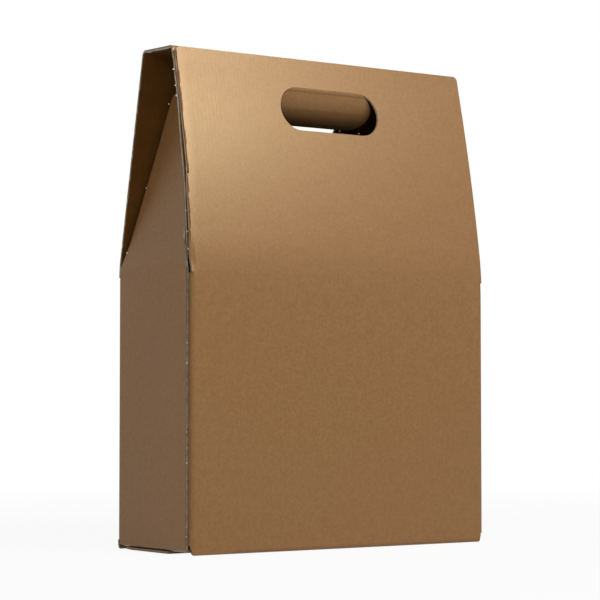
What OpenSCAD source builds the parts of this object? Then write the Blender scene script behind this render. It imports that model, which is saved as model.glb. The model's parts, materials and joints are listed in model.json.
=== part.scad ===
// Carry carton for three bottles, folded from one sheet of fine-flute board.
// The frame stands on its foot: +Z is up, the front faces -Y, and the origin is under the middle.

/* [Body] */
// Outside width of the carton
body_w = 265; // [240:1:290]
// Outside depth of the carton, front to back
body_d = 98; // [90:1:120]
// Height of the shoulder, where the slopes and the side flaps begin
shoulder_h = 204; // [180:1:220]

/* [Board] */
// Thickness of the board
board_t = 1.8; // [1.4:0.1:2.4]
// Inside radius of a crease
crease_r = 1.2; // [0.6:0.1:3]
// Space between layers of board that lie on each other
layer_gap = 0.2; // [0.1:0.05:0.4]

/* [Slopes and ridge] */
// Height of the top of the ridge strip
ridge_h = 361; // [340:1:390]
// Depth of the ridge between the outer faces of the two slopes
ridge_d = 38; // [34:1:48]
// Inside radius of the soft bend at the shoulder
shoulder_r = 58; // [20:1:90]
// Inside radius of the fold at the back of the ridge strip
ridge_back_r = 2.6; // [1:0.1:4]
// How far the front slope's top edge lies below the top of the ridge strip
front_drop = 2.2; // [1:0.1:6]
// How far the front slope's left edge is cut back from the carton's side
front_cut_left = 7.1; // [3:0.1:10]
// How far the front slope's right edge and the foot of the back slope are cut back from the sides
slope_cut = 0.5; // [0.2:0.1:2]
// How much further the back slope is cut back below the ridge than at its foot
slope_taper = 1.3; // [0:0.1:3]
// Height above the shoulder at which the front slope's left edge starts to run in to its cut
cut_start = 14; // [8:1:40]
// Height above the shoulder at which it has reached its cut
cut_run = 70; // [50:1:100]
// Radius of the front slope's top corners
top_corner_r = 3.5; // [1:0.5:8]
// How far the ends of the ridge strip and of its tuck are cut back from the carton's sides
ridge_cut = 4.5; // [3:0.1:8]
// Height over which the back slope narrows to the ridge strip
ridge_run = 14; // [6:1:24]

/* [Tuck] */
// Length of the tuck from the ridge's front fold to its free edge
tuck_len = 139; // [100:1:145]
// Space between the front slope and the tuck at the front slope's top edge
tuck_gap = 0.4; // [0.3:0.1:1.5]
// Angle at which the tuck hangs away from the front slope
tuck_spread = 1.6; // [0:0.1:2]
// Radius of the tuck's free corners
tuck_corner_r = 8; // [2:1:20]

/* [Handle] */
// Width of the hand hole
hole_w = 89; // [80:1:110]
// Height of the hand hole along the slope
hole_h = 33; // [28:1:40]
// Board left above the hand hole, along the slope
hole_drop = 21; // [16:1:40]
// Width of the tuck's hole, which the handle flap is pushed through
tuck_hole_w = 104; // [98:1:120]
// How far the tuck's hole is wider than the hand hole, above and below
tuck_hole_clear = 1.8; // [1.5:0.1:4]
// Angle between the handle flap and the front slope, pushed in
handle_angle = 50; // [20:1:80]
// Cut line round the handle flap
cut_gap = 0.5; // [0.3:0.1:1]

/* [Side flaps] */
// Space between the free edges of the two side flaps when both lie flat over the bottles
side_flap_gap = 1.2; // [1:0.1:60]
// Angle at which a side flap leans in from upright
side_flap_lean = 12; // [0:1:40]
// Space between a side flap's front edge and the tuck, when the flap is upright
side_flap_front = 1.5; // [0.8:0.1:5]
// Space between a side flap's back edge and the back slope, when the flap is upright
side_flap_back = 4.7; // [0.8:0.1:8]
// Height of the slanted cuts at a side flap's root
side_flap_root = 19; // [4:1:22]
// Radius of a side flap's free corners
side_flap_corner_r = 7; // [1:0.5:20]
// Play in the crease of each flap that moves
crease_play = 0.3; // [0.2:0.05:0.5]

/* [Glued corner] */
// Width of the glue flap inside the left side panel
glue_flap_w = 34; // [20:1:45]
// How far the left side panel's raw edge lies behind the front face
side_setback = 5.5; // [4.5:0.5:14]
// Height of the slanted cut at each end of the glue flap
glue_cut = 12; // [4:1:20]

/* [Bottom] */
// Length of the back bottom flap, the lowest of the four
back_flap_len = 69; // [60:1:72]
// Length of the front bottom flap
front_flap_len = 64; // [56:1:74]
// Length of the two side bottom flaps
side_foot_len = 68; // [40:1:70]
// Width of the locking tab on the back bottom flap
tab_w = 104; // [60:1:120]
// How far the locking tab reaches past the back flap's edge
tab_reach = 22; // [18:1:23]
// Distance before the back flap's edge at which the locking tab starts to turn up
tab_rise = 7; // [6:0.5:10]
// Distance past that edge at which the tab has come up through the notch
tab_top = 6; // [5:0.5:8]
// Space between the notch and the tab, at the sides and in front
notch_clear = 2; // [1:0.5:4]
// Distance from the front crease at which the front flap starts to rise over the side flaps
ramp_start = 5; // [4:0.5:7]
// Distance along which the front flap rises
ramp_len = 8; // [7:0.5:10]
// Cut-back at the roots of the bottom flaps
foot_cut = 2; // [1:0.5:5]
// Slant of the bottom flaps' sides near their creases
foot_slant = 18; // [10:1:22]

/* [Hidden] */
$fn = 64;

// How far a cutting shape runs past what it cuts
past = 1;

// Largest turn between two points of a bend
bend_step = 9;

// Height between the top of the upright corner folds and the start of the shoulder's bend
corner_gap = 1;

// Depth behind the front slope that holds the tuck and stays short of the back slope
tuck_room = 12;

// Outside radius and middle radius of a plain crease
corner_r = crease_r + board_t;
mid_r = crease_r + board_t / 2;
half_w = body_w / 2;
half_d = body_d / 2;

// Slope angle from upright, and places along the slopes
lean = atan2((body_d - ridge_d) / 2, ridge_h - shoulder_h);
front_top = ridge_h - front_drop;
slope_len = (front_top - shoulder_h) / cos(lean);
board_level = board_t / cos(lean);
shoulder_mid = shoulder_h - board_t / 2 * tan(lean / 2);
bend_mid = shoulder_r + board_t / 2;
bend_reach = bend_mid * tan(lean / 2);
corner_top = shoulder_mid - bend_reach - corner_gap;

// The tuck's own angle and the place where its middle meets the ridge strip's middle
tuck_lean = lean - tuck_spread;
ridge_mid = ridge_h - board_t / 2;
tuck_mid_y = front_y(front_top) + board_level + tuck_gap + board_t / 2 / cos(tuck_lean)
    + (ridge_mid - front_top) * tan(tuck_lean);
tuck_end_z = ridge_mid - tuck_len * cos(tuck_lean);
tuck_end_y = tuck_mid_y - tuck_len * sin(tuck_lean);

// The hand hole, in the slope's own plane, centred on the front slope as that is cut
hole_x = (front_cut_left - slope_cut) / 2;
hole_top = slope_len - hole_drop;
hole_mid = hole_top - hole_h / 2;
handle_axis = hole_top - crease_play - board_t / 2;
crease_w = hole_w - hole_h;

// Levels of the bottom's layers, counted from the lowest, at the middle of each layer
layer = board_t + layer_gap;
back_level = board_t / 2;
side_level = back_level + layer;
front_level = back_level + 2 * layer;
tab_level = back_level + 3 * layer;
foot_split = front_level + board_t;

// Places of the bottom flaps, front to back
back_flap_end = half_d - back_flap_len;
front_flap_end = front_flap_len - half_d;
ramp_foot = corner_r + ramp_start - half_d;
ramp_head = ramp_foot + ramp_len;
tab_foot = back_flap_end + tab_rise;
tab_head = back_flap_end - tab_top;
tab_end = back_flap_end - tab_reach;
notch_end = tab_head - notch_clear;

// Length of a side flap from its crease
side_flap_len = half_w - board_t / 2 - side_flap_gap / 2;

// Outer face of the front slope at height z
function front_y(z) = (z - shoulder_h) * tan(lean) - half_d;

// Inner face of the tuck at height z
function tuck_inner(z) = tuck_mid_y - (ridge_mid - z) * tan(tuck_lean) + board_t / 2 / cos(tuck_lean);

// A folded sheet is a path: the corners of its middle line, each with the middle radius of its bend
function heading(path, i) = atan2(path[i + 1][1] - path[i][1], path[i + 1][0] - path[i][0]);
function wrapped(a) = a > 180 ? a - 360 : a < -180 ? a + 360 : a;
function turn(path, i) = wrapped(heading(path, i) - heading(path, i - 1));
function ahead(a) = [cos(a), sin(a)];

// Centre of the bend at corner i
function bend_centre(path, i) =
    let (a = heading(path, i - 1), side = sign(turn(path, i)), r = path[i][2])
    [path[i][0], path[i][1]] - r * tan(abs(turn(path, i)) / 2) * ahead(a) + r * ahead(a + side * 90);

// One face of the sheet round corner i: on the left of the path for side 1, on the right for side -1,
// and its middle line for side 0
function bend_face(path, i, side) =
    let (
        a = turn(path, i),
        steps = max(3, ceil(abs(a) / bend_step)),
        r = path[i][2] - side * sign(a) * board_t / 2,
        first = heading(path, i - 1) - sign(a) * 90
    )
    [for (k = [0 : steps]) bend_centre(path, i) + r * ahead(first + a * k / steps)];

// One whole face of the sheet from end to end
function sheet_face(path, side) =
    let (
        last = len(path) - 1,
        off = side * board_t / 2,
        from = heading(path, 0),
        to = heading(path, last - 1)
    )
    concat(
        [[path[0][0], path[0][1]] + off * ahead(from + 90)],
        [for (i = [1 : last - 1]) each bend_face(path, i, side)],
        [[path[last][0], path[last][1]] + off * ahead(to + 90)]
    );

function backwards(points) = [for (i = [len(points) - 1 : -1 : 0]) points[i]];

// Section of a folded sheet
module folded(path) {
    polygon(concat(sheet_face(path, 1), backwards(sheet_face(path, -1))));
}

// A section drawn in (depth, height), carried over the whole width
module over_width(width = body_w) {
    translate([-width / 2, 0, 0])
        rotate([90, 0, 90])
            linear_extrude(width)
                children();
}

// A section drawn in (width, height), carried along the depth from y0 to y1
module along_depth(y0, y1) {
    translate([0, y1, 0])
        rotate([90, 0, 0])
            linear_extrude(y1 - y0)
                children();
}

// The front slope's plane: x along the width, y up the slope from the shoulder, z outwards
module on_front_slope() {
    translate([0, -half_d, shoulder_h])
        rotate([90 - lean, 0, 0])
            children();
}

// The back slope's plane, in the same way
module on_back_slope() {
    mirror([0, 1, 0])
        on_front_slope()
            children();
}

// A slot with round ends, centred
module slot(w, h) {
    square([w - h, h], center = true);
    for (s = [-1, 1])
        translate([s * (w - h) / 2, 0])
            circle(d = h);
}

// What a rounded corner takes away at the top left of an outline, with the corner at the origin
module round_off(r) {
    difference() {
        translate([-past, -r])
            square([r + past, r + past]);
        translate([r, -r])
            circle(r = r);
    }
}

// Everything around a plan, from the floor up to the level where the bottom flaps end
module below_split() {
    translate([0, 0, -past])
        linear_extrude(foot_split + past)
            difference() {
                square(2 * body_w, center = true);
                children();
            }
}

// Cuts a folded run, the first child, to its elevation, the second, and its bottom flap to the third
module trimmed() {
    difference() {
        intersection() {
            children(0);
            along_depth(-body_d, body_d)
                children(1);
        }
        below_split()
            children(2);
    }
}

// Elevation of the front: the panel between its corners, and the slope with its cut edges
module front_outline() {
    panel_left = board_t + corner_r - half_w;
    slope_left = front_cut_left - half_w;
    slope_right = half_w - slope_cut;
    translate([panel_left, -past])
        square([half_w - corner_r - panel_left, corner_top + 2 * past]);
    difference() {
        polygon([
            [board_t - half_w, corner_top],
            [slope_right, corner_top],
            [slope_right, ridge_h],
            [slope_left, ridge_h],
            [slope_left, shoulder_h + cut_run],
            [board_t - half_w, shoulder_h + cut_start],
        ]);
        translate([slope_left, front_top])
            round_off(top_corner_r);
        translate([slope_right, front_top])
            mirror([1, 0])
                round_off(top_corner_r);
    }
}

// Elevation of the back: the panel between its corners, and the slope that narrows to the ridge
module back_outline() {
    edge = half_w - slope_cut;
    high = edge - slope_taper;
    top = half_w - ridge_cut;
    translate([-edge, -past])
        square([2 * edge, foot_split + past]);
    translate([corner_r - half_w, 0])
        square([body_w - 2 * corner_r, corner_top + past]);
    polygon([
        [-edge, corner_top],
        [edge, corner_top],
        [high, ridge_h - ridge_run],
        [top, ridge_h],
        [top, ridge_h + past],
        [-top, ridge_h + past],
        [-top, ridge_h],
        [-high, ridge_h - ridge_run],
    ]);
}

// Plan of the front bottom flap: slanted sides, and a notch that the locking tab passes
module front_flap_plan() {
    root = half_w - corner_r - board_t - foot_cut;
    free = root - foot_cut;
    difference() {
        polygon([
            [-body_w, -body_d],
            [body_w, -body_d],
            [body_w, corner_r - half_d],
            [root, corner_r - half_d],
            [free, corner_r + foot_slant - half_d],
            [free - foot_cut, front_flap_end],
            [foot_cut - free, front_flap_end],
            [-free, corner_r + foot_slant - half_d],
            [-root, corner_r - half_d],
            [-body_w, corner_r - half_d],
        ]);
        translate([-tab_w / 2 - notch_clear, notch_end])
            square([tab_w + 2 * notch_clear, body_d]);
    }
}

// Plan of the back bottom flap, which lies lowest and is cut out where its tab turns up
module back_flap_plan() {
    root = half_w - corner_r - foot_cut;
    free = half_w - slope_cut;
    difference() {
        polygon([
            [-body_w, body_d],
            [body_w, body_d],
            [body_w, half_d - corner_r],
            [root, half_d - corner_r],
            [free, half_d - foot_slant],
            [free, back_flap_end],
            [-free, back_flap_end],
            [-free, half_d - foot_slant],
            [-root, half_d - corner_r],
            [-body_w, half_d - corner_r],
        ]);
        translate([-tab_w / 2, back_flap_end - past])
            square([tab_w, tab_rise + past]);
    }
}

// Plan of the right bottom side flap, which lies between the front and the back flap
module side_flap_plan() {
    free = half_w - side_foot_len;
    front = ramp_head + layer;
    back = half_d - corner_r - foot_cut;
    polygon([
        [half_w + past, -half_d],
        [half_w - corner_r, -half_d],
        [half_w - corner_r - foot_cut, front],
        [free + foot_slant, front],
        [free, front + foot_slant],
        [free, back - foot_slant],
        [free + foot_slant, back],
        [half_w - corner_r, back],
        [half_w - corner_r, half_d],
        [half_w + past, half_d],
    ]);
}

// The front: bottom flap, panel and slope, folded from one run of board
module front_run() {
    trimmed() {
        over_width()
            folded([
                [front_flap_end, front_level],
                [ramp_head, front_level, mid_r],
                [ramp_foot, back_level, mid_r],
                [board_t / 2 - half_d, back_level, mid_r],
                [board_t / 2 - half_d, shoulder_mid, bend_mid],
                [front_y(front_top) + board_level / 2, front_top],
            ]);
        front_outline();
        front_flap_plan();
    }
}

// The back: bottom flap, panel, slope, ridge strip and tuck, folded from one run of board
module back_run() {
    ridge_back_y = -front_y(ridge_mid) - board_level / 2;
    difference() {
        trimmed() {
            over_width()
                folded([
                    [back_flap_end, back_level],
                    [half_d - board_t / 2, back_level, mid_r],
                    [half_d - board_t / 2, shoulder_mid, bend_mid],
                    [ridge_back_y, ridge_mid, ridge_back_r + board_t / 2],
                    [tuck_mid_y, ridge_mid, mid_r],
                    [tuck_end_y, tuck_end_z],
                ]);
            back_outline();
            back_flap_plan();
        }
        tuck_trim();
    }
}

// What is cut from the full-width run beside and below the tuck
module tuck_trim() {
    tuck_w = body_w - 2 * ridge_cut;
    translate([0, tuck_end_y, tuck_end_z])
        rotate([90 - tuck_lean, 0, 0])
            translate([0, 0, -board_t])
                linear_extrude(tuck_room)
                    for (s = [0, 1])
                        mirror([s, 0])
                            tuck_side(tuck_w);
}

// The strip to one side of the tuck, with its rounded free corner
module tuck_side(tuck_w) {
    translate([-body_w, -past])
        square([body_w - tuck_w / 2, tuck_len]);
    translate([-tuck_w / 2, 0])
        mirror([0, 1])
            round_off(tuck_corner_r);
}

// The locking tab, which turns up through the notch and lies over the front flap's root
module locking_tab() {
    over_width(tab_w)
        folded([
            [tab_foot + foot_slant, back_level],
            [tab_foot, back_level, mid_r],
            [tab_head, tab_level, mid_r],
            [tab_end, tab_level],
        ]);
}

// The walls round the body in plan, from the front to the raw edge of the left side panel
module wrap() {
    side_x = half_w - board_t / 2;
    front = board_t / 2 - half_d;
    translate([0, 0, foot_split])
        linear_extrude(corner_top - foot_split)
            folded([
                [0, front],
                [side_x, front, mid_r],
                [side_x, -front, mid_r],
                [-side_x, -front, mid_r],
                [-side_x, side_setback - half_d],
            ]);
}

// The glue flap, turned in at the front's left edge and covered by the left side panel
module glue_flap() {
    front = board_t / 2 - half_d;
    glue_x = 3 * board_t / 2 - half_w;
    intersection() {
        translate([0, 0, board_t / 2])
            linear_extrude(corner_top - board_t / 2)
                folded([
                    [glue_x + glue_flap_w, front],
                    [glue_x, front, mid_r],
                    [glue_x, glue_flap_w - half_d],
                ]);
        translate([-half_w, 0, 0])
            rotate([90, 0, 90])
                linear_extrude(body_w)
                    polygon([
                        [-half_d, 0],
                        [corner_r - half_d, foot_split],
                        [glue_flap_w - half_d, foot_split + glue_cut],
                        [glue_flap_w - half_d, corner_top - glue_cut],
                        [corner_r - half_d, corner_top],
                        [-half_d, corner_top],
                    ]);
    }
}

// A side panel with its bottom flap, on the right; its front edge lies at the depth front_edge
module side_run(front_edge) {
    panel_x = half_w - board_t / 2;
    panel_top = shoulder_h - board_t / 2 - crease_play;
    difference() {
        along_depth(front_edge, half_d - corner_r)
            folded([
                [half_w - side_foot_len, side_level],
                [panel_x, side_level, mid_r],
                [panel_x, panel_top],
            ]);
        below_split()
            side_flap_plan();
    }
}

// The hand holes: through the front slope, wider through the tuck behind it, and through the back slope
module hand_holes() {
    on_front_slope()
        translate([hole_x, hole_mid, -board_t - tuck_gap / 2])
            linear_extrude(board_t + tuck_gap / 2 + past)
                slot(hole_w, hole_h);
    on_front_slope()
        translate([hole_x, hole_mid, -board_t - tuck_gap / 2 - tuck_room])
            linear_extrude(tuck_room)
                slot(tuck_hole_w, hole_h + 2 * tuck_hole_clear);
    on_back_slope()
        translate([hole_x, hole_mid, -2 * board_t])
            linear_extrude(3 * board_t)
                slot(hole_w, hole_h);
}

module carton() {
    color("#96703f") {
        difference() {
            union() {
                front_run();
                back_run();
                locking_tab();
                wrap();
                glue_flap();
                side_run(corner_r - half_d);
                mirror([1, 0, 0])
                    side_run(side_setback - half_d);
            }
            hand_holes();
        }
    }
}

// The handle flap, cut from the hand hole and creased along the hole's straight top edge
module handle_flap() {
    color("#a5794b")
        on_front_slope()
            translate([hole_x, handle_axis, -board_t / 2])
                rotate([handle_angle, 0, 0])
                    flap_blank();
}

// The handle flap in its own plane, with its crease along X at the origin and the flap towards -Y
module flap_blank() {
    translate([0, 0, -board_t / 2])
        linear_extrude(board_t)
            intersection() {
                translate([0, hole_mid - handle_axis])
                    slot(hole_w - 2 * cut_gap, hole_h - 2 * cut_gap);
                union() {
                    translate([-hole_w / 2, -hole_h - board_t])
                        square([hole_w, hole_h]);
                    translate([-crease_w / 2, -2 * board_t])
                        square([crease_w, 2 * board_t]);
                }
            }
    rotate([0, 90, 0])
        cylinder(h = crease_w, d = board_t, center = true);
}

// A side flap in the plane of the panel below it, on the right: depth along X, height along Y
module side_flap_outline(front_root) {
    back_edge = half_d - board_level - side_flap_back;
    front_edge = tuck_inner(shoulder_h) + side_flap_front;
    outline = [
        [half_d - corner_r, 0],
        [back_edge - side_flap_root * tan(lean), side_flap_root],
        [back_edge - side_flap_len * tan(lean), side_flap_len, side_flap_corner_r],
        [front_edge + side_flap_len * tan(tuck_lean), side_flap_len, side_flap_corner_r],
        [front_edge + side_flap_root * tan(tuck_lean), side_flap_root],
        [front_root, 0],
    ];
    polygon(concat(
        [outline[0], outline[1]],
        bend_face(outline, 2, 0),
        bend_face(outline, 3, 0),
        [outline[4], outline[5]]
    ));
}

// A side flap on the right, leaning in from its crease on top of the side panel
module side_flap(front_root) {
    translate([half_w - board_t / 2, 0, shoulder_h])
        rotate([0, -side_flap_lean, 0]) {
            translate([-board_t / 2, 0, 0])
                rotate([90, 0, 90])
                    linear_extrude(board_t)
                        side_flap_outline(front_root);
            translate([0, front_root, 0])
                rotate([-90, 0, 0])
                    cylinder(h = half_d - corner_r - front_root, d = board_t);
        }
}

module right_side_flap() {
    color("#8c6438")
        side_flap(corner_r - half_d);
}

module left_side_flap() {
    color("#8c6438")
        mirror([1, 0, 0])
            side_flap(side_setback - half_d);
}

carton();
handle_flap();
left_side_flap();
right_side_flap();
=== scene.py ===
"""Looks for the bronze carry carton: board, creases, raw edges and nicks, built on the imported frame."""

import json
import math

import bmesh
import bpy
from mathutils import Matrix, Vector, noise

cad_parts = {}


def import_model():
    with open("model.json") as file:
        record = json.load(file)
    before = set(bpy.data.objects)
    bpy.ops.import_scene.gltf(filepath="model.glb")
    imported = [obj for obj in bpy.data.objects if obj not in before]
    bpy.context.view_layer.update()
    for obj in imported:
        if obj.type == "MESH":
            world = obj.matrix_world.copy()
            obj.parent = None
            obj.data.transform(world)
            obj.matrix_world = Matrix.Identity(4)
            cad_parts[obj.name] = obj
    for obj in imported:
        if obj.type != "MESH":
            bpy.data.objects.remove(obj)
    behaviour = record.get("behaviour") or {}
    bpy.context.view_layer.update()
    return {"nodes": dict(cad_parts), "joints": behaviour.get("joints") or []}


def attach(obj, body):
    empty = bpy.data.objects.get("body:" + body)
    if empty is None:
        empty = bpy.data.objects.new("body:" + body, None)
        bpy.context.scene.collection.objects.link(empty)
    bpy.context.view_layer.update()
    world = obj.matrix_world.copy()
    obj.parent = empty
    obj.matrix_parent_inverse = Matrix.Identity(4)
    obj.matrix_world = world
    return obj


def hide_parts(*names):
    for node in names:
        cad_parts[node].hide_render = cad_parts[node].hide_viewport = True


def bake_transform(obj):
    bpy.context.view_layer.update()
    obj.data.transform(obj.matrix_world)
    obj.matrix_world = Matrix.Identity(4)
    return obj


MM = 0.001

# The carton's driving sizes, as in the part's source
HALF_W = 132.5 * MM
HALF_D = 49.0 * MM
SHOULDER = 204.0 * MM
RIDGE = 361.0 * MM
BOARD = 1.8 * MM
LEAN = math.atan2(30.0, 157.0)
SIDE_LEAN = math.radians(12)
HANDLE_ANGLE = math.radians(50)
CREASE_W = 56.0 * MM
HOLE_R = 16.0 * MM
RIDGE_RUN = 14.0 * MM
TUCK_SPREAD = math.radians(1.6)
# How far the tuck's ends lie from the middle, and the height of its free edge
TUCK_END = 128.0 * MM
TUCK_FOOT = 222.9 * MM
# How far the back slope reaches from the middle: at the foot of its run to the ridge strip, and at the strip
RIDGE_CUT = (130.7 * MM, 128.0 * MM)

# The board's look: the widest face that is a raw edge, the turn that parts two faces, and the pitch of the flutes
RAW_WIDTH = 2.5 * MM
SKIN_TURN = math.radians(16)
FLUTE_MM = 3.1

# How the surfaces are cut up for their soft shapes, with closer cuts along the front slope's left edge
GRID = 5.0 * MM
FINE_FROM = -117.2 * MM
FINE_STEP = 1.25 * MM
FINE_CUTS = 11

# Give of the board: the raw edges' wander, the panels' bow and their ripple
EDGE_WANDER = 0.16 * MM
WANDER_SCALE = 190
PANEL_BOW = 0.55 * MM
PANEL_RIPPLE = 0.14 * MM
RIPPLE_SCALE = 22

# The front wall's bend as made: (height, depth) of its outer face
MADE_BEND = [
    (197.34 * MM, -49.0 * MM),
    (202.1 * MM, -48.88 * MM),
    (205.84 * MM, -48.53 * MM),
    (209.56 * MM, -47.94 * MM),
]
# How the same wall sits in an empty carton: a longer bend, and a slope that bulges and leans in more towards its top
BEND_START = 176.0 * MM
BEND_END = 232.0 * MM
SLOPE_TOP = 357.0 * MM
BEND_LEAN = 0.156
TOP_LEAN = 0.242

# The front slope's left edge: its distance from the middle below and above the run between two heights
EDGE_LOW = 130.7 * MM
EDGE_HIGH = 125.4 * MM
EDGE_RUN = (218.0 * MM, 274.0 * MM)
# The edge rolls back over this reach, from the shoulder on up to a share of the slope
EDGE_ROLL = 0.32 * MM
EDGE_ROLL_REACH = 7.5 * MM
EDGE_ROLL_RISE = (0.0, 1 / 6)
# It flares to the side from a share of the slope on and bulges halfway up, more towards the edge itself
EDGE_FLARE = 1.3 * MM
EDGE_FLARE_RISE = (0.125, 0.375)
EDGE_PUSH = 1.2 * MM
EDGE_FLARE_REACH = (-90.0 * MM, -125.0 * MM)
# Its foot curls in just above the shoulder: the curl's middle, half its height, and where it is full
SHOULDER_CURL = 1.4 * MM
CURL_Z = SHOULDER + 4.0 * MM
CURL_HALF = 14.0 * MM
CURL_REACH = (-126.7 * MM, -130.7 * MM)
# The slope's top edge is lifted against the ridge
TOP_LIFT = 1.2 * MM
LIFT_RISE = (RIDGE - 12.0 * MM, RIDGE - 3.0 * MM)
# Its liner is rolled over the cuts left of this place, and the left cut slants, so that some raw board shows in front
ROLLED_FROM = -100.0 * MM
SLOPE_SLANT = 1.3 * MM
SLANT_RISE = (SHOULDER + 8.0 * MM, SHOULDER + 38.0 * MM)

# The tuck's ends: they follow the soft slope, close part of their spread, hang lower at the free corners and reach out
TUCK_FOLLOW = (60.0 * MM, 100.0 * MM)
TUCK_CLOSE = 0.5
TUCK_CLOSE_REACH = (80.0 * MM, 115.0 * MM)
TUCK_EAR = 20.0 * MM
TUCK_EAR_REACH = (112.0 * MM, 120.0 * MM)
TUCK_EAR_FALL = (262.0 * MM, 232.0 * MM)
TUCK_REACH = 1.2 * MM
TUCK_REACH_FROM = (100.0 * MM, 120.0 * MM)
TUCK_REACH_FALL = (330.0 * MM, 280.0 * MM)
TUCK_SLANT = 2.5 * MM
TUCK_SLANT_FALL = (RIDGE - 4.0 * MM, RIDGE - 16.0 * MM)
TUCK_SLANT_FOOT = 220.0 * MM

# The ridge strip's ends: they widen from the front fold to the back one, and their raw board is frayed
RIDGE_ENDS = (100.0 * MM, 125.0 * MM)
RIDGE_FOLDS = (-12.0 * MM, 16.0 * MM)
RIDGE_FRAY = 1.2 * MM
FRAY_ENDS = (118.0 * MM, 127.0 * MM)
FRAY_DEPTH = (17.0 * MM, 12.0 * MM)

# The side flaps' length and bow
FLAP_LEN = 131.0 * MM
FLAP_BOW = 0.8 * MM

# The handle flap's length past its crease, and how far it has turned at the crease and at its free edge
HANDLE_LEN = 29.5 * MM
HANDLE_TURNS = (math.radians(22), math.radians(78))

# The groove at the glued corner, where the side panel's raw edge ends on the front panel's flap
SEAM_Y = -43.5 * MM
SEAM_DEPTH = 0.6 * MM
SEAM_WIDTH = 0.9 * MM
SEAM_FADE = 6.0 * MM

# Where the side flaps' creases end: behind the glued corner at the front left, at the fold at the front right
LEFT_ROOT = -43.5 * MM
RIGHT_ROOT = -46.0 * MM
BACK_ROOT = 46.0 * MM

# A crease that moves is a soft strip of board: its length before and after the axis, and where it bends
CREASE_REACH = 3.0 * MM
CREASE_BEND = (-1.0 * MM, 3.0 * MM)
HANDLE_CREASE = (-1.2 * MM, 1.7 * MM)
CREASE_ROWS = 14
CREASE_CELL = 4.0 * MM

# Nicks and loose fibres in millimetres: on the side panel's raw edge, the tuck's end, the hand hole and the left flap
SIDE_NICK_AT = (-131.7, -43.6)
SIDE_NICKS = [(13.1, 0.4), (20.0, 0.35), (64.3, 0.45), (74.7, 0.4), (85.8, 0.4), (133.8, 0.8), (147.7, 0.4)]
TUCK_NICK_X = -128.4
TUCK_NICK_BEHIND = 3.2
TUCK_NICKS = [213.5, 226.0, 240.8, 323.6, 331.1, 342.9]
HOLE_NICKS = [(-25.9, -23.6, 337.5), (31.7, -23.6, 337.9), (11.1, -29.4, 307.7), (28.9, -29.5, 307.1)]
FLAP_TUFTS = [
    ((-106.9, 21.0, 324.4), (0.5, 0.8, 0.6)),
    ((-119.8, 31.2, 262.8), (0.4, 0.7, 0.5)),
    ((-130.0, 40.8, 215.3), (0.5, 1.3, 0.7)),
]
FLAP_STRANDS = [
    (
        [
            (-127.0, -32.4, 230.4),
            (-127.9, -33.6, 227.6),
            (-128.0, -34.4, 224.2),
            (-128.9, -35.2, 221.4),
            (-129.4, -36.1, 218.7),
        ],
        0.28,
    ),
    ([(-128.2, -33.9, 226.0), (-128.9, -34.2, 223.0), (-128.7, -35.6, 220.6), (-129.6, -35.9, 217.4)], 0.2),
]

# Camera: where it stands, which way it looks, and its lens
CAMERA_AT = Vector((-928.2, -1301.6, 107.8)) * MM
CAMERA_AZIMUTH = 35.37
CAMERA_PITCH = 2.69
CAMERA_LENS = 128.1

# Light: the room's level, and the share of plain white in the floor's look, at two distances from the carton
ROOM_LIGHT = 0.13
FLOOR_WHITE = (0.93, 1.0)
FLOOR_NEAR = (0.35, 1.1)
SOFTBOX = {"at": (0.28, -0.783, 0.775), "aim": (-0.12, -0.03, 0.33), "size": (0.36, 0.2)}

# The board's looks, in the order of their material slots
PRINTED, INNER, RAW_ALONG, RAW_ACROSS, ROLLED = range(5)

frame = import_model()


def srgb(r, g, b):
    """A colour given as 0 to 255 sRGB, as the linear value that shaders take."""
    values = []
    for c in (r, g, b):
        c = c / 255
        values.append(c / 12.92 if c <= 0.04045 else ((c + 0.055) / 1.055) ** 2.4)
    return (*values, 1)


def eased(t):
    """0 to 1 with a soft start and end."""
    t = min(1.0, max(0.0, t))
    return t * t * (3 - 2 * t)


def rising(value, ends):
    """0 up to the first of two ends and 1 from the second on, with a soft way between; it may run downwards."""
    return eased((value - ends[0]) / (ends[1] - ends[0]))


def hump(t):
    """1 at 0, falling softly to 0 at -1 and 1."""
    return (1 - t * t) ** 2 if abs(t) < 1 else 0.0


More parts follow.
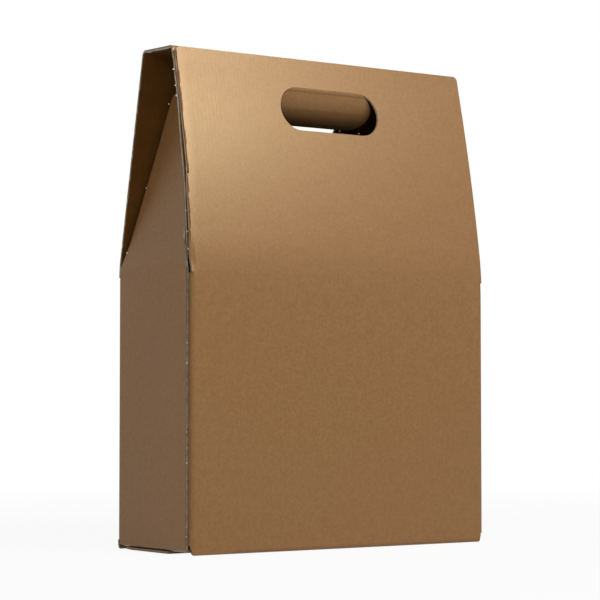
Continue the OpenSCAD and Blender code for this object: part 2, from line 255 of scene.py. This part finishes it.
class Nodes:
    """Short ways to add shader nodes to one material."""

    def __init__(self, name):
        self.material = bpy.data.materials.new(name)
        self.material.use_nodes = True
        self.tree = self.material.node_tree
        self.shader = self.tree.nodes["Principled BSDF"]

    def add(self, kind, **values):
        node = self.tree.nodes.new(kind)
        for key, value in values.items():
            setattr(node, key, value)
        return node

    def link(self, source, target):
        self.tree.links.new(source, target)

    def place(self):
        return self.add("ShaderNodeTexCoord").outputs["Object"]

    def sheet(self):
        """The board's own coordinates: millimetres across the flutes, and across a raw edge from 0 to 1."""
        split = self.add("ShaderNodeSeparateXYZ")
        self.link(self.add("ShaderNodeUVMap", uv_map="sheet").outputs["UV"], split.inputs[0])
        return split.outputs["X"], split.outputs["Y"]

    def flutes(self, across):
        """The wave of the flutes, from -1 to 1."""
        return self.math("SINE", self.math("MULTIPLY", across, 2 * math.pi / FLUTE_MM))

    def noise(self, scale, detail, rough):
        node = self.add("ShaderNodeTexNoise")
        node.inputs["Scale"].default_value = scale
        node.inputs["Detail"].default_value = detail
        node.inputs["Roughness"].default_value = rough
        self.link(self.place(), node.inputs["Vector"])
        return node.outputs["Fac"]

    def math(self, operation, *sources):
        node = self.add("ShaderNodeMath", operation=operation)
        for i, source in enumerate(sources):
            if isinstance(source, (int, float)):
                node.inputs[i].default_value = source
            else:
                self.link(source, node.inputs[i])
        return node.outputs[0]

    def ramp(self, source, *stops):
        """A colour or grey for each level of the source: stops are (level, colour)."""
        node = self.add("ShaderNodeValToRGB")
        for stop in stops[2:]:
            node.color_ramp.elements.new(stop[0])
        for element, (level, colour) in zip(node.color_ramp.elements, stops):
            element.position = level
            element.color = colour if hasattr(colour, "__len__") else (colour, colour, colour, 1)
        self.link(source, node.inputs["Fac"])
        return node.outputs["Color"]

    def mix(self, factor, a, b):
        node = self.add("ShaderNodeMix", data_type="RGBA")
        for socket, value in ((0, factor), (6, a), (7, b)):
            if isinstance(value, (int, float, tuple)):
                node.inputs[socket].default_value = value
            else:
                self.link(value, node.inputs[socket])
        return node.outputs[2]

    def bump(self, height, distance, below=None):
        """A surface normal for a height from 0 to 1, which stands for the distance, on top of the normal below."""
        node = self.add("ShaderNodeBump")
        node.inputs["Distance"].default_value = distance
        self.link(height, node.inputs["Height"])
        if below:
            self.link(below, node.inputs["Normal"])
        return node.outputs["Normal"]

    def finish(self, colour=None, roughness=None, normal=None):
        for name, source in (("Base Color", colour), ("Roughness", roughness), ("Normal", normal)):
            if source is not None:
                self.link(source, self.shader.inputs[name])
        return self.material


def printed_liner():
    """The satin bronze outside of the board, with its grain and the flutes that show faintly through."""
    n = Nodes("bronze_liner")
    across, _ = n.sheet()
    grain = n.noise(480, 4, 0.62)
    mottle = n.noise(120, 3, 0.5)
    cloud = n.noise(9, 2, 0.5)
    tone = n.math("ADD", n.math("MULTIPLY", grain, 0.9), n.math("MULTIPLY", mottle, 0.1))
    colour = n.ramp(tone, (0.36, srgb(143, 104, 64)), (0.64, srgb(153, 114, 73)))
    colour = n.mix(n.ramp(cloud, (0.35, 0.0), (0.65, 0.2)), colour, srgb(150, 108, 71))
    lines = n.bump(n.flutes(across), 0.004 * MM)
    rough = n.ramp(mottle, (0.3, 0.36), (0.7, 0.39))
    n.shader.inputs["Metallic"].default_value = 0.1
    n.shader.inputs["Specular IOR Level"].default_value = 0.15
    n.shader.inputs["Coat Weight"].default_value = 0.08
    n.shader.inputs["Coat Roughness"].default_value = 0.3
    surface = n.bump(grain, 0.04 * MM, lines)
    n.link(surface, n.shader.inputs["Coat Normal"])
    return n.finish(colour, rough, surface)


def inner_liner():
    """The brown paper inside of the board."""
    n = Nodes("brown_liner")
    across, _ = n.sheet()
    fibre = n.noise(900, 4, 0.65)
    mottle = n.noise(60, 3, 0.5)
    tone = n.math("ADD", n.math("MULTIPLY", fibre, 0.5), n.math("MULTIPLY", mottle, 0.5))
    colour = n.ramp(tone, (0.3, srgb(104, 68, 29)), (0.7, srgb(124, 83, 38)))
    lines = n.bump(n.flutes(across), 0.015 * MM)
    n.shader.inputs["Roughness"].default_value = 0.72
    n.shader.inputs["Specular IOR Level"].default_value = 0.08
    return n.finish(colour, None, n.bump(fibre, 0.05 * MM, lines))


def raw_along():
    """A raw edge cut along the flutes: crushed grey paper between the two liners, with the inner liner's brown
    darkened by painted shade of the gap behind the edge at its inner side.
    """
    n = Nodes("raw_edge_along")
    _, level = n.sheet()
    fibre = n.noise(1500, 4, 0.65)
    streak = n.noise(260, 3, 0.6)
    core = n.ramp(
        n.math("ADD", n.math("MULTIPLY", fibre, 0.5), n.math("MULTIPLY", streak, 0.5)),
        (0.36, srgb(128, 112, 92)),
        (0.5, srgb(172, 156, 134)),
        (0.66, srgb(198, 186, 166)),
    )
    colour = n.mix(n.ramp(level, (0.46, 0.0), (0.55, 0.8), (0.66, 0.8), (0.74, 0.0)), core, srgb(212, 202, 186))
    colour = n.mix(n.ramp(level, (0.0, 1.0), (0.1, 0.75), (0.2, 0.0)), colour, srgb(96, 72, 48))
    # Painted shade: towards the inner side the edge goes nearly black, for the shadowed gap behind it over the inner
    # liner's brown
    colour = n.mix(n.ramp(level, (0.74, 0.0), (0.84, 1.0)), colour, srgb(46, 29, 15))
    n.shader.inputs["Roughness"].default_value = 0.9
    return n.finish(colour, None, n.bump(fibre, 0.12 * MM))


def raw_across():
    """A raw edge cut across the flutes: their wave runs between the two liners, with painted shade in the hollows
    beside it.
    """
    n = Nodes("raw_edge_across")
    across, level = n.sheet()
    fibre = n.noise(1500, 3, 0.6)
    middle = n.math("MULTIPLY_ADD", n.flutes(across), 0.34, 0.5)
    off = n.math("ABSOLUTE", n.math("SUBTRACT", level, middle))
    paper = n.ramp(fibre, (0.35, srgb(186, 176, 160)), (0.65, srgb(214, 206, 192)))
    # Painted shade: off the flute's wave, the hollows between the paper are coloured dark
    colour = n.mix(n.ramp(off, (0.12, 0.0), (0.24, 1.0)), paper, srgb(104, 90, 74))
    liner = n.ramp(level, (0.0, 1.0), (0.13, 1.0), (0.17, 0.0), (0.83, 0.0), (0.87, 1.0), (1.0, 1.0))
    colour = n.mix(liner, colour, srgb(150, 124, 96))
    n.shader.inputs["Roughness"].default_value = 0.9
    return n.finish(colour, None, n.bump(fibre, 0.1 * MM))


def rolled_edge():
    """A cut that the liner is rolled over: brown in front, with the tan paper of the core behind."""
    n = Nodes("rolled_edge")
    _, level = n.sheet()
    fibre = n.noise(1200, 4, 0.6)
    brown = n.ramp(fibre, (0.35, srgb(128, 88, 56)), (0.65, srgb(146, 104, 68)))
    core = n.ramp(fibre, (0.35, srgb(186, 156, 124)), (0.65, srgb(208, 180, 146)))
    n.shader.inputs["Roughness"].default_value = 0.8
    return n.finish(n.mix(n.ramp(level, (0.5, 0.0), (0.62, 1.0)), brown, core), None, n.bump(fibre, 0.08 * MM))


def bare_fibre():
    """Torn paper fibre, where a nick held the blank in its sheet."""
    n = Nodes("bare_fibre")
    fibre = n.noise(1800, 3, 0.6)
    n.shader.inputs["Roughness"].default_value = 0.95
    return n.finish(n.ramp(fibre, (0.35, srgb(226, 218, 204)), (0.65, srgb(246, 241, 232))))


BOARD_LOOKS = [printed_liner(), inner_liner(), raw_along(), raw_across(), rolled_edge()]
FIBRE = bare_fibre()


def groups_of(faces):
    """Faces that join across edges which turn less than SKIN_TURN."""
    limit = math.cos(SKIN_TURN)
    left = set(faces)
    groups = []
    while left:
        seed = left.pop()
        group, stack = [seed], [seed]
        while stack:
            face = stack.pop()
            for edge in face.edges:
                for other in edge.link_faces:
                    if other in left and face.normal.dot(other.normal) > limit:
                        left.discard(other)
                        group.append(other)
                        stack.append(other)
        groups.append(group)
    return groups


def group_width(group):
    """Mean width of a strip of faces, from its area and its rim."""
    members = set(group)
    area = sum(face.calc_area() for face in group)
    rim = sum(
        edge.calc_length()
        for face in group
        for edge in face.edges
        if sum(other in members for other in edge.link_faces) < 2
    )
    return 2 * area / rim if rim else 1.0


def sort_faces(bm, is_printed, runs_along):
    """Marks each face as printed, inner or raw, by its width and the way it faces."""
    for group in groups_of(bm.faces):
        raw = group_width(group) < RAW_WIDTH
        for face in group:
            if raw:
                face.material_index = RAW_ALONG if runs_along(face) else RAW_ACROSS
            else:
                face.material_index = PRINTED if is_printed(face) else INNER


def is_raw(face):
    """Whether a face is a cut edge of the board."""
    return face.material_index in (RAW_ALONG, RAW_ACROSS)


def write_sheet_map(bm, side_piece):
    """The board's coordinates: across the flutes in millimetres, and across raw edges from 0 to 1."""
    layer = bm.loops.layers.uv.verify()
    for face in bm.faces:
        sideways = side_piece or abs(face.normal.x) > 0.7
        for loop in face.loops:
            point = loop.vert.co
            across = (point.y if sideways else point.x) / MM
            if is_raw(face):
                skins = [f.material_index for f in loop.vert.link_faces if f.material_index in (PRINTED, INNER)]
                level = sum(skins) / len(skins) if skins else 0.5
                loop[layer].uv = (across, level)
            else:
                loop[layer].uv = (across, point.z / MM)


def cut_through(bm, place, normal):
    geom = bm.verts[:] + bm.edges[:] + bm.faces[:]
    bmesh.ops.bisect_plane(bm, geom=geom, plane_co=place, plane_no=normal)


def cut_to_grid(bm, fine_x=(), fine_y=()):
    """Cuts the faces into cells small enough to take soft shapes, and also at the places fine_x and fine_y."""
    normals = [Vector((1, 0, 0)), Vector((0, 1, 0)), Vector((0, 0, 1))]
    for places, normal in zip((fine_x, fine_y), normals):
        for place in places:
            cut_through(bm, normal * place, normal)
    low = Vector(map(min, zip(*(v.co for v in bm.verts))))
    high = Vector(map(max, zip(*(v.co for v in bm.verts))))
    for axis, normal in enumerate(normals):
        length = high[axis] - low[axis]
        steps = math.ceil(length / GRID)
        for k in range(1, steps):
            cut_through(bm, low + normal * length * k / steps, normal)


def wander(bm, keep):
    """Raw edges wander a little inwards, as a die cuts them; the vertices that keep() names stay."""
    for vert in bm.verts:
        raw = [f.normal for f in vert.link_faces if is_raw(f) or f.material_index == ROLLED]
        if raw and not keep(vert.co):
            inward = -sum(raw, Vector()).normalized()
            vert.co += inward * EDGE_WANDER * (0.5 + 0.5 * noise.noise(vert.co * WANDER_SCALE))


def bow(depth, a, b):
    """How far a panel gives inwards at the place (a, b), each from -1 to 1 across the panel."""
    return depth * hump(a) * hump(b)


def made_front(z):
    """Depth of the front wall's outer face in the part's source, at height z."""
    if z >= MADE_BEND[-1][0]:
        return (z - SHOULDER) * math.tan(LEAN) - HALF_D
    for (z0, y0), (z1, y1) in zip(MADE_BEND, MADE_BEND[1:]):
        if z < z1:
            return y0 + (y1 - y0) * max(0.0, z - z0) / (z1 - z0)


def soft_front(z):
    """Depth of the same face where the board bends softly over the shoulder and bulges a little above it."""
    bend = BEND_END - BEND_START
    t = min(1.0, max(0.0, (z - BEND_START) / bend))
    y = BEND_LEAN * bend * (t**3 - t**4 / 2) - HALF_D
    above = max(0.0, min(z, SLOPE_TOP) - BEND_END)
    y += above * BEND_LEAN + above**2 / 2 * (TOP_LEAN - BEND_LEAN) / (SLOPE_TOP - BEND_END)
    return y + max(0.0, z - SLOPE_TOP) * math.tan(LEAN)


def slope_shift(x, y, z):
    """How the front slope and the wall's bend below it lie, with the slope's flared and rolled left edge."""
    wall_y = made_front(z)
    if not (BEND_START < z < RIDGE - 2 * MM and wall_y - 0.2 * MM < y < wall_y + 1.1 * BOARD):
        return Vector()
    share = max(0.0, z - SHOULDER) / (SLOPE_TOP - SHOULDER)
    edge = EDGE_LOW + (EDGE_HIGH - EDGE_LOW) * rising(z, EDGE_RUN)
    roll = EDGE_ROLL * rising(share, EDGE_ROLL_RISE) * max(0.0, 1 - (x + edge) / EDGE_ROLL_REACH) ** 2
    curl = SHOULDER_CURL * hump((z - CURL_Z) / CURL_HALF) * rising(x, CURL_REACH)
    flare = EDGE_FLARE * rising(share, EDGE_FLARE_RISE) + EDGE_PUSH * max(0.0, 4 * share * (1 - share))
    lift = TOP_LIFT * rising(z, LIFT_RISE)
    return Vector((-flare * rising(x, EDGE_FLARE_REACH), soft_front(z) - wall_y + roll + curl, lift))


def tuck_shift(x, y, z):
    """How the tuck's two ends lie behind the front slope."""
    wall_y, out = made_front(z), abs(x)
    spread = (RIDGE - z) * math.tan(TUCK_SPREAD)
    behind_slope = wall_y + 1.1 * BOARD <= y < wall_y + 2.9 * BOARD + spread
    if not (TUCK_FOOT - 2 * MM < z < RIDGE - 6 * MM and behind_slope and out > TUCK_FOLLOW[0]):
        return Vector()
    back = (soft_front(z) - wall_y) * rising(out, TUCK_FOLLOW) - TUCK_CLOSE * spread * rising(out, TUCK_CLOSE_REACH)
    ear = TUCK_EAR * rising(out, TUCK_EAR_REACH) * rising(z, TUCK_EAR_FALL)
    reach = TUCK_REACH * rising(z, TUCK_REACH_FALL) * rising(out, TUCK_REACH_FROM)
    return Vector((math.copysign(reach, x), back, -ear))


def ridge_shift(x, y, z):
    """How the ends of the ridge strip widen from front to back, and how its raw board is frayed."""
    shift = Vector()
    low, high = RIDGE_CUT
    front, back = RIDGE_FOLDS
    on_strip = z > RIDGE - 2.5 * MM or y > 10 * MM
    if z > RIDGE - RIDGE_RUN and y > front and abs(x) > RIDGE_ENDS[0] and on_strip:
        cut = low + (high - low) * (z - RIDGE + RIDGE_RUN) / RIDGE_RUN
        wanted = high + (low - high) * min(1.0, (y - front) / (back - front))
        shift.x += math.copysign((wanted - cut) * rising(abs(x), RIDGE_ENDS), x)
    if RIDGE - 2.4 * MM < z < RIDGE - 1.2 * MM:
        shift.z -= RIDGE_FRAY * rising(abs(x), FRAY_ENDS) * rising(abs(y), FRAY_DEPTH)
    return shift


def wall_shift(x, y, z):
    """How the four walls bow in, and the groove beside the glued corner's raw edge."""
    shift = Vector()
    if not 0 < z < SHOULDER:
        return shift
    up = (z - SHOULDER / 2) / (SHOULDER / 2)
    depth = PANEL_BOW + PANEL_RIPPLE * noise.noise(Vector((x, y, z)) * RIPPLE_SCALE)
    side_depth = depth - 0.2 * PANEL_BOW
    if y < -HALF_D + 1.05 * BOARD:
        shift.y += bow(depth, x / HALF_W, up)
    if y > HALF_D - 1.05 * BOARD:
        shift.y -= bow(depth, x / HALF_W, up)
    if abs(x) > HALF_W - 2.05 * BOARD:
        shift.x -= math.copysign(bow(side_depth, y / HALF_D, up), x)
    if -HALF_W + 0.9 * BOARD < x < -HALF_W + 1.1 * BOARD and abs(y - SEAM_Y) < 0.3 * MM:
        shift.x += SEAM_DEPTH * eased(z / SEAM_FADE) * eased((SHOULDER - z) / SEAM_FADE)
    return shift


def carton_shape(point):
    """How the sheet of an empty carton lies at a point, beside its place in the part's source."""
    return slope_shift(*point) + tuck_shift(*point) + ridge_shift(*point) + wall_shift(*point)


def roll_liner_over(bm):
    """The liner is rolled over the cut along the front slope's left edge, so that the cut shows brown."""
    for face in bm.faces:
        x, y, z = face.calc_center_median()
        behind = y - ((z - SHOULDER) * math.tan(LEAN) - HALF_D)
        if is_raw(face) and x < ROLLED_FROM and z > SHOULDER and behind < 1.1 * BOARD:
            face.material_index = ROLLED


def slant_ends(bm):
    """The tuck's ends and the front slope's left edge are cut at a slant, so that their raw board shows in front."""
    for vert in bm.verts:
        x, y, z = vert.co
        looks = {f.material_index for f in vert.link_faces}
        if ROLLED in looks and abs(y - made_front(z)) < 0.3 * MM:
            vert.co.x += SLOPE_SLANT * rising(z, SLANT_RISE)
        at_end = abs(abs(x) - TUCK_END) < 0.02 * MM and z > TUCK_SLANT_FOOT and y < 0
        if at_end and PRINTED in looks and looks & {RAW_ALONG, RAW_ACROSS}:
            vert.co.x -= math.copysign(TUCK_SLANT * rising(z, TUCK_SLANT_FALL), x)


def new_piece(name, bm, looks):
    """An object from a finished mesh, smooth but for its edges."""
    mesh = bpy.data.meshes.new(name)
    bm.to_mesh(mesh)
    bm.free()
    for look in looks:
        mesh.materials.append(look)
    mesh.shade_smooth()
    mesh.set_sharp_from_angle(angle=math.radians(28))
    if mesh.uv_layers:
        mesh.uv_layers[0].name = "sheet"
    piece = bpy.data.objects.new(name, mesh)
    bpy.context.scene.collection.objects.link(piece)
    return piece


def board_from(node):
    """A fresh copy of a node's surface, joined up."""
    bm = bmesh.new()
    bm.from_mesh(frame["nodes"][node].data)
    bmesh.ops.remove_doubles(bm, verts=bm.verts, dist=1e-6)
    return bm


def cut_away(bm, faces, place, normal):
    """Removes what lies beyond a plane, among these faces only."""
    verts = {v for f in faces for v in f.verts}
    edges = {e for f in faces for e in f.edges}
    geom = list(verts) + list(edges) + list(faces)
    bmesh.ops.bisect_plane(bm, geom=geom, plane_co=place, plane_no=normal, clear_outer=True)


def carton():
    """The folded sheet itself, open where its moving creases are."""
    bm = board_from("carton")
    centre = Vector((0, 0, 0.18))

    def faces_out(face):
        return face.normal.dot(face.calc_center_median() - centre) > 0

    def runs_along(face):
        on_side = abs(face.calc_center_median().x) > HALF_W - BOARD
        return abs(face.normal.y) > 0.8 if on_side else abs(face.normal.x) > 0.75

    sort_faces(bm, faces_out, runs_along)
    write_sheet_map(bm, False)
    crease_foot = SHOULDER - CREASE_REACH
    side_walls = [
        f
        for f in bm.faces
        if all(abs(v.co.x) > HALF_W - BOARD - 0.05 * MM and abs(v.co.y) < HALF_D - 2.9 * MM for v in f.verts)
        and crease_foot < max(v.co.z for v in f.verts) < SHOULDER + CREASE_REACH
    ]
    cut_away(bm, side_walls, Vector((0, 0, crease_foot)), Vector((0, 0, 1)))
    cut_to_grid(bm, [FINE_FROM - k * FINE_STEP for k in range(FINE_CUTS)], [SEAM_Y - SEAM_WIDTH])
    roll_liner_over(bm)
    slant_ends(bm)
    wander(bm, lambda p: p.z < 1 * MM or abs(p.z - crease_foot) < 0.1 * MM)
    for vert in bm.verts:
        vert.co += carton_shape(vert.co)
    piece = new_piece("carton_board", bm, BOARD_LOOKS)
    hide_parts("carton")
    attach(piece, "carton")


def turned(angle, u, n):
    """Board direction and printed normal after a crease's turn, for a board that bends away from its print."""
    return math.cos(angle) * u - math.sin(angle) * n, math.cos(angle) * n + math.sin(angle) * u


def crease(name, axis, u, along, angle, bend, reach, ends, side_piece):
    """A strip of board, bent through the crease's angle. Ends gives the strip's two ends along the axis for each
    place.
    """
    n = u.cross(along) if u.cross(along).dot(axis) > 0 else along.cross(u)
    bm = bmesh.new()
    layer = bm.loops.layers.uv.verify()
    columns = max(2, round((ends(0)[1] - ends(0)[0]) / CREASE_CELL))
    grid = {}
    for i in range(CREASE_ROWS + 1):
        s = reach[0] + (reach[1] - reach[0]) * i / CREASE_ROWS
        direction, normal = turned(angle * rising(s, bend), u, n)
        if s < 0:
            direction = u
        first, last = ends(s)
        for j in range(columns + 1):
            for face, off in ((PRINTED, BOARD / 2), (INNER, -BOARD / 2)):
                place = axis + along * (first + (last - first) * j / columns) + direction * s + normal * off
                place += carton_shape(place) * (1 - i / CREASE_ROWS)
                grid[i, j, face] = bm.verts.new(place)

    def quad(corners, look):
        face = bm.faces.new([grid[c] for c in corners])
        face.material_index = look
        for loop, (i, j, level) in zip(face.loops, corners):
            point = grid[i, j, level].co
            across = (point.y if side_piece else point.x) / MM
            loop[layer].uv = (across, level if look == RAW_ALONG else point.z / MM)

    for i in range(CREASE_ROWS):
        for j in range(columns):
            for face in (PRINTED, INNER):
                quad([(i, j, face), (i, j + 1, face), (i + 1, j + 1, face), (i + 1, j, face)], face)
        for j in (0, columns):
            quad([(i, j, PRINTED), (i, j, INNER), (i + 1, j, INNER), (i + 1, j, PRINTED)], RAW_ALONG)
    bmesh.ops.recalc_face_normals(bm, faces=bm.faces)
    piece = new_piece(name, bm, BOARD_LOOKS)
    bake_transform(piece)


def flap_piece(node, axis, u, n, angle, start, side_piece):
    """A moving flap from its crease strip on, with the same board surfaces as the carton."""
    direction, normal = turned(angle, u, n)
    bm = board_from(node)
    sort_faces(
        bm,
        lambda f: f.normal.dot(normal) > 0,
        lambda f: abs(f.normal.y if side_piece else f.normal.x) > 0.75,
    )
    write_sheet_map(bm, side_piece)
    cut_away(bm, list(bm.faces), axis + direction * start, -direction)
    cut_to_grid(bm)
    wander(bm, lambda p: (p - axis).dot(direction) < start + 0.1 * MM)
    return bm, direction, normal


def span_at(bm, axis, direction, start, component):
    """The two ends of a flap's open edge, along its crease."""
    at_edge = [v.co[component] for v in bm.verts if abs((v.co - axis).dot(direction) - start) < 0.02 * MM]
    return min(at_edge), max(at_edge)


def side_flap(side, node, name, front_root):
    """A side flap that bows a little, and the crease that it swings on."""
    axis = Vector((side * (HALF_W - BOARD / 2), 0, SHOULDER))
    u, n, along = Vector((0, 0, 1)), Vector((side, 0, 0)), Vector((0, 1, 0))
    bm, direction, normal = flap_piece(node, axis, u, n, SIDE_LEAN, CREASE_REACH, True)
    free = span_at(bm, axis, direction, CREASE_REACH, 1)
    for vert in bm.verts:
        reach = (vert.co - axis).dot(direction)
        vert.co -= normal * bow(FLAP_BOW, vert.co.y / HALF_D, (reach - FLAP_LEN / 2) / (FLAP_LEN / 2))
    piece = new_piece(name + "_board", bm, BOARD_LOOKS)
    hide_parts(node)
    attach(piece, node)

    def ends(s):
        t = max(0.0, s) / CREASE_REACH
        return front_root + (free[0] - front_root) * t, BACK_ROOT + (free[1] - BACK_ROOT) * t

    whole = (-CREASE_REACH, CREASE_REACH)
    crease(name + "_crease", axis, u, along, SIDE_LEAN, CREASE_BEND, whole, ends, True)


def handle_flap():
    """The pushed-in handle flap, curled from its crease to its free edge."""
    fold = next(j for j in frame["joints"] if j["name"] == "handle_flap_fold")
    axis = Vector(fold["pos_m"])
    u = Vector((0, -math.sin(LEAN), -math.cos(LEAN)))
    n = Vector((0, -math.cos(LEAN), math.sin(LEAN)))
    first, last = HANDLE_TURNS
    start = HANDLE_CREASE[1]
    bm, direction, normal = flap_piece("handle_flap", axis, u, n, HANDLE_ANGLE, start, False)
    bend = (last - first) / HANDLE_LEN
    for vert in bm.verts:
        s, off = (vert.co - axis).dot(direction), (vert.co - axis).dot(normal)
        angle = first + bend * (s - start)
        middle = axis + turned(first, u, n)[0] * start
        middle += u * (math.sin(angle) - math.sin(first)) / bend - n * (math.cos(first) - math.cos(angle)) / bend
        vert.co = middle + turned(angle, u, n)[1] * off + Vector((vert.co.x - axis.x, 0, 0))
    piece = new_piece("handle_flap_board", bm, BOARD_LOOKS)
    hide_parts("handle_flap")
    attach(piece, "handle_flap")

    def ends(s):
        down = s - HANDLE_CREASE[0]
        half = CREASE_W / 2 + math.sqrt(max(0.0, HOLE_R**2 - (HOLE_R - down) ** 2))
        return -half, half

    along = Vector((1, 0, 0))
    crease("handle_flap_crease", axis, u, along, first, HANDLE_CREASE, HANDLE_CREASE, ends, False)


def tuft(bm, at, size, seed):
    """A small irregular bit of torn board."""
    made = bmesh.ops.create_icosphere(bm, subdivisions=2, radius=1.0)
    for vert in made["verts"]:
        push = 1 + 0.45 * noise.noise(vert.co * 1.7 + Vector((seed, 0, 0)))
        vert.co = Vector(at) * MM + Vector([c * push * r * MM for c, r in zip(vert.co, size)])


def strand(bm, path, radius):
    """A loose paper fibre along a path of points in millimetres, thinner at its ends."""
    points = [Vector(p) * MM for p in path]
    rings = []
    for i, point in enumerate(points):
        ahead = (points[min(i + 1, len(points) - 1)] - points[max(i - 1, 0)]).normalized()
        side = ahead.orthogonal().normalized()
        up = ahead.cross(side)
        wide = radius * MM * (1 - 0.7 * abs(2 * i / (len(points) - 1) - 1) ** 2)
        turns = [math.radians(60 * k) for k in range(6)]
        rings.append([bm.verts.new(point + wide * (math.cos(a) * side + math.sin(a) * up)) for a in turns])
    for first, second in zip(rings, rings[1:]):
        for k in range(6):
            bm.faces.new([first[k], first[(k + 1) % 6], second[(k + 1) % 6], second[k]])
    bm.faces.new(rings[0][::-1])
    bm.faces.new(rings[-1])


def bits(name, body, tufts, strands):
    """One piece of tufts and strands that moves with a body."""
    bm = bmesh.new()
    for seed, (at, size) in enumerate(tufts):
        tuft(bm, at, size, 3.7 * seed)
    for path, radius in strands:
        strand(bm, path, radius)
    bmesh.ops.recalc_face_normals(bm, faces=bm.faces)
    piece = new_piece(name, bm, [FIBRE])
    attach(piece, body)


def nicks():
    """Where the blank held in its sheet: torn specks on the raw edges, and loose fibres on the left flap."""
    tufts = [((*SIDE_NICK_AT, z), (0.55, 0.6, size)) for z, size in SIDE_NICKS]
    for z in TUCK_NICKS:
        x = TUCK_NICK_X - TUCK_REACH / MM * rising(z * MM, TUCK_REACH_FALL)
        away = TUCK_NICK_BEHIND + (1 - TUCK_CLOSE) * (RIDGE / MM - z) * math.tan(TUCK_SPREAD)
        tufts.append(((x, soft_front(z * MM) / MM + away, z), (0.75, 0.75, 0.65)))
    tufts += [(at, (0.5, 0.35, 0.3)) for at in HOLE_NICKS]
    bits("carton_nicks", "carton", tufts, [])
    bits("left_flap_fibres", "left_side_flap", FLAP_TUFTS, FLAP_STRANDS)


def camera():
    """The photo's view, solved from the carton's corners."""
    cam = bpy.data.objects.new("camera", bpy.data.cameras.new("camera"))
    bpy.context.scene.collection.objects.link(cam)
    azimuth, pitch = math.radians(CAMERA_AZIMUTH), math.radians(CAMERA_PITCH)
    ahead = Vector((math.sin(azimuth) * math.cos(pitch), math.cos(azimuth) * math.cos(pitch), math.sin(pitch)))
    cam.location = CAMERA_AT
    cam.rotation_euler = ahead.to_track_quat("-Z", "Y").to_euler()
    cam.data.lens = CAMERA_LENS
    cam.data.sensor_width = 36
    cam.data.clip_end = 50
    bpy.context.scene.camera = cam


def lamp(name, at, aim, size, power, colour=(1, 1, 1), sheen_only=False):
    """A rectangular lamp; one for sheen only adds to the board's gloss and not to its plain light."""
    light = bpy.data.lights.new(name, "AREA")
    light.shape = "RECTANGLE"
    light.size, light.size_y = size
    light.energy = power
    light.color = colour
    obj = bpy.data.objects.new(name, light)
    obj.location = Vector(at)
    obj.rotation_euler = (Vector(aim) - Vector(at)).to_track_quat("-Z", "Y").to_euler()
    obj.visible_diffuse = not sheen_only
    bpy.context.scene.collection.objects.link(obj)


def seen(tree):
    """1 for what the camera, gloss and glass see, and 0 for the light that falls on things."""
    path = tree.nodes.new("ShaderNodeLightPath")
    total = path.outputs["Is Camera Ray"]
    for name in ("Is Glossy Ray", "Is Transmission Ray"):
        either = tree.nodes.new("ShaderNodeMath")
        either.operation = "MAXIMUM"
        tree.links.new(total, either.inputs[0])
        tree.links.new(path.outputs[name], either.inputs[1])
        total = either.outputs[0]
    return total


def floor():
    """A pale floor that shows as the white ground but keeps the carton's shadow."""
    bpy.ops.mesh.primitive_plane_add(size=30, location=(0, 0, 0))
    plane = bpy.context.object
    plane.name = "floor"
    n = Nodes("pale_floor")
    n.shader.inputs["Base Color"].default_value = srgb(210, 210, 210)
    n.shader.inputs["Roughness"].default_value = 0.9
    white = n.add("ShaderNodeEmission")
    distance = n.add("ShaderNodeVectorMath", operation="LENGTH")
    n.link(n.place(), distance.inputs[0])
    level = n.add("ShaderNodeMapRange")
    for name, value in zip(("From Min", "From Max", "To Min", "To Max"), FLOOR_NEAR + FLOOR_WHITE):
        level.inputs[name].default_value = value
    n.link(distance.outputs["Value"], level.inputs["Value"])
    share = n.math("MULTIPLY", seen(n.tree), level.outputs[0])
    blend = n.add("ShaderNodeMixShader")
    n.link(share, blend.inputs[0])
    n.link(n.shader.outputs[0], blend.inputs[1])
    n.link(white.outputs[0], blend.inputs[2])
    n.link(blend.outputs[0], n.tree.nodes["Material Output"].inputs["Surface"])
    plane.data.materials.append(n.material)


def world():
    """The room's plain light, and the white ground."""
    sky = bpy.data.worlds.new("studio")
    bpy.context.scene.world = sky
    sky.use_nodes = True
    tree = sky.node_tree
    level = tree.nodes.new("ShaderNodeMapRange")
    level.inputs["To Min"].default_value = ROOM_LIGHT
    level.inputs["To Max"].default_value = 1.0
    tree.links.new(seen(tree), level.inputs["Value"])
    tree.links.new(level.outputs[0], tree.nodes["Background"].inputs["Strength"])
    tree.nodes["Background"].inputs["Color"].default_value = (1, 1, 1, 1)


carton()
side_flap(-1, "left_side_flap", "left_flap", LEFT_ROOT)
side_flap(1, "right_side_flap", "right_flap", RIGHT_ROOT)
handle_flap()
nicks()

camera()
world()
floor()
lamp("softbox", **SOFTBOX, power=2.0)
lamp("sheen", **SOFTBOX, power=6.2, colour=(0.87, 1.0, 0.76), sheen_only=True)
lamp("overhead", at=(0.5, -1.7, 1.9), aim=(0, 0, 0.15), size=(1.2, 1.0), power=29)
lamp("left_fill", at=(-2.2, -0.9, 0.9), aim=(0, 0, 0.2), size=(1.0, 1.0), power=11, colour=(1.0, 0.96, 0.82))

bpy.context.scene.view_settings.view_transform = "Standard"
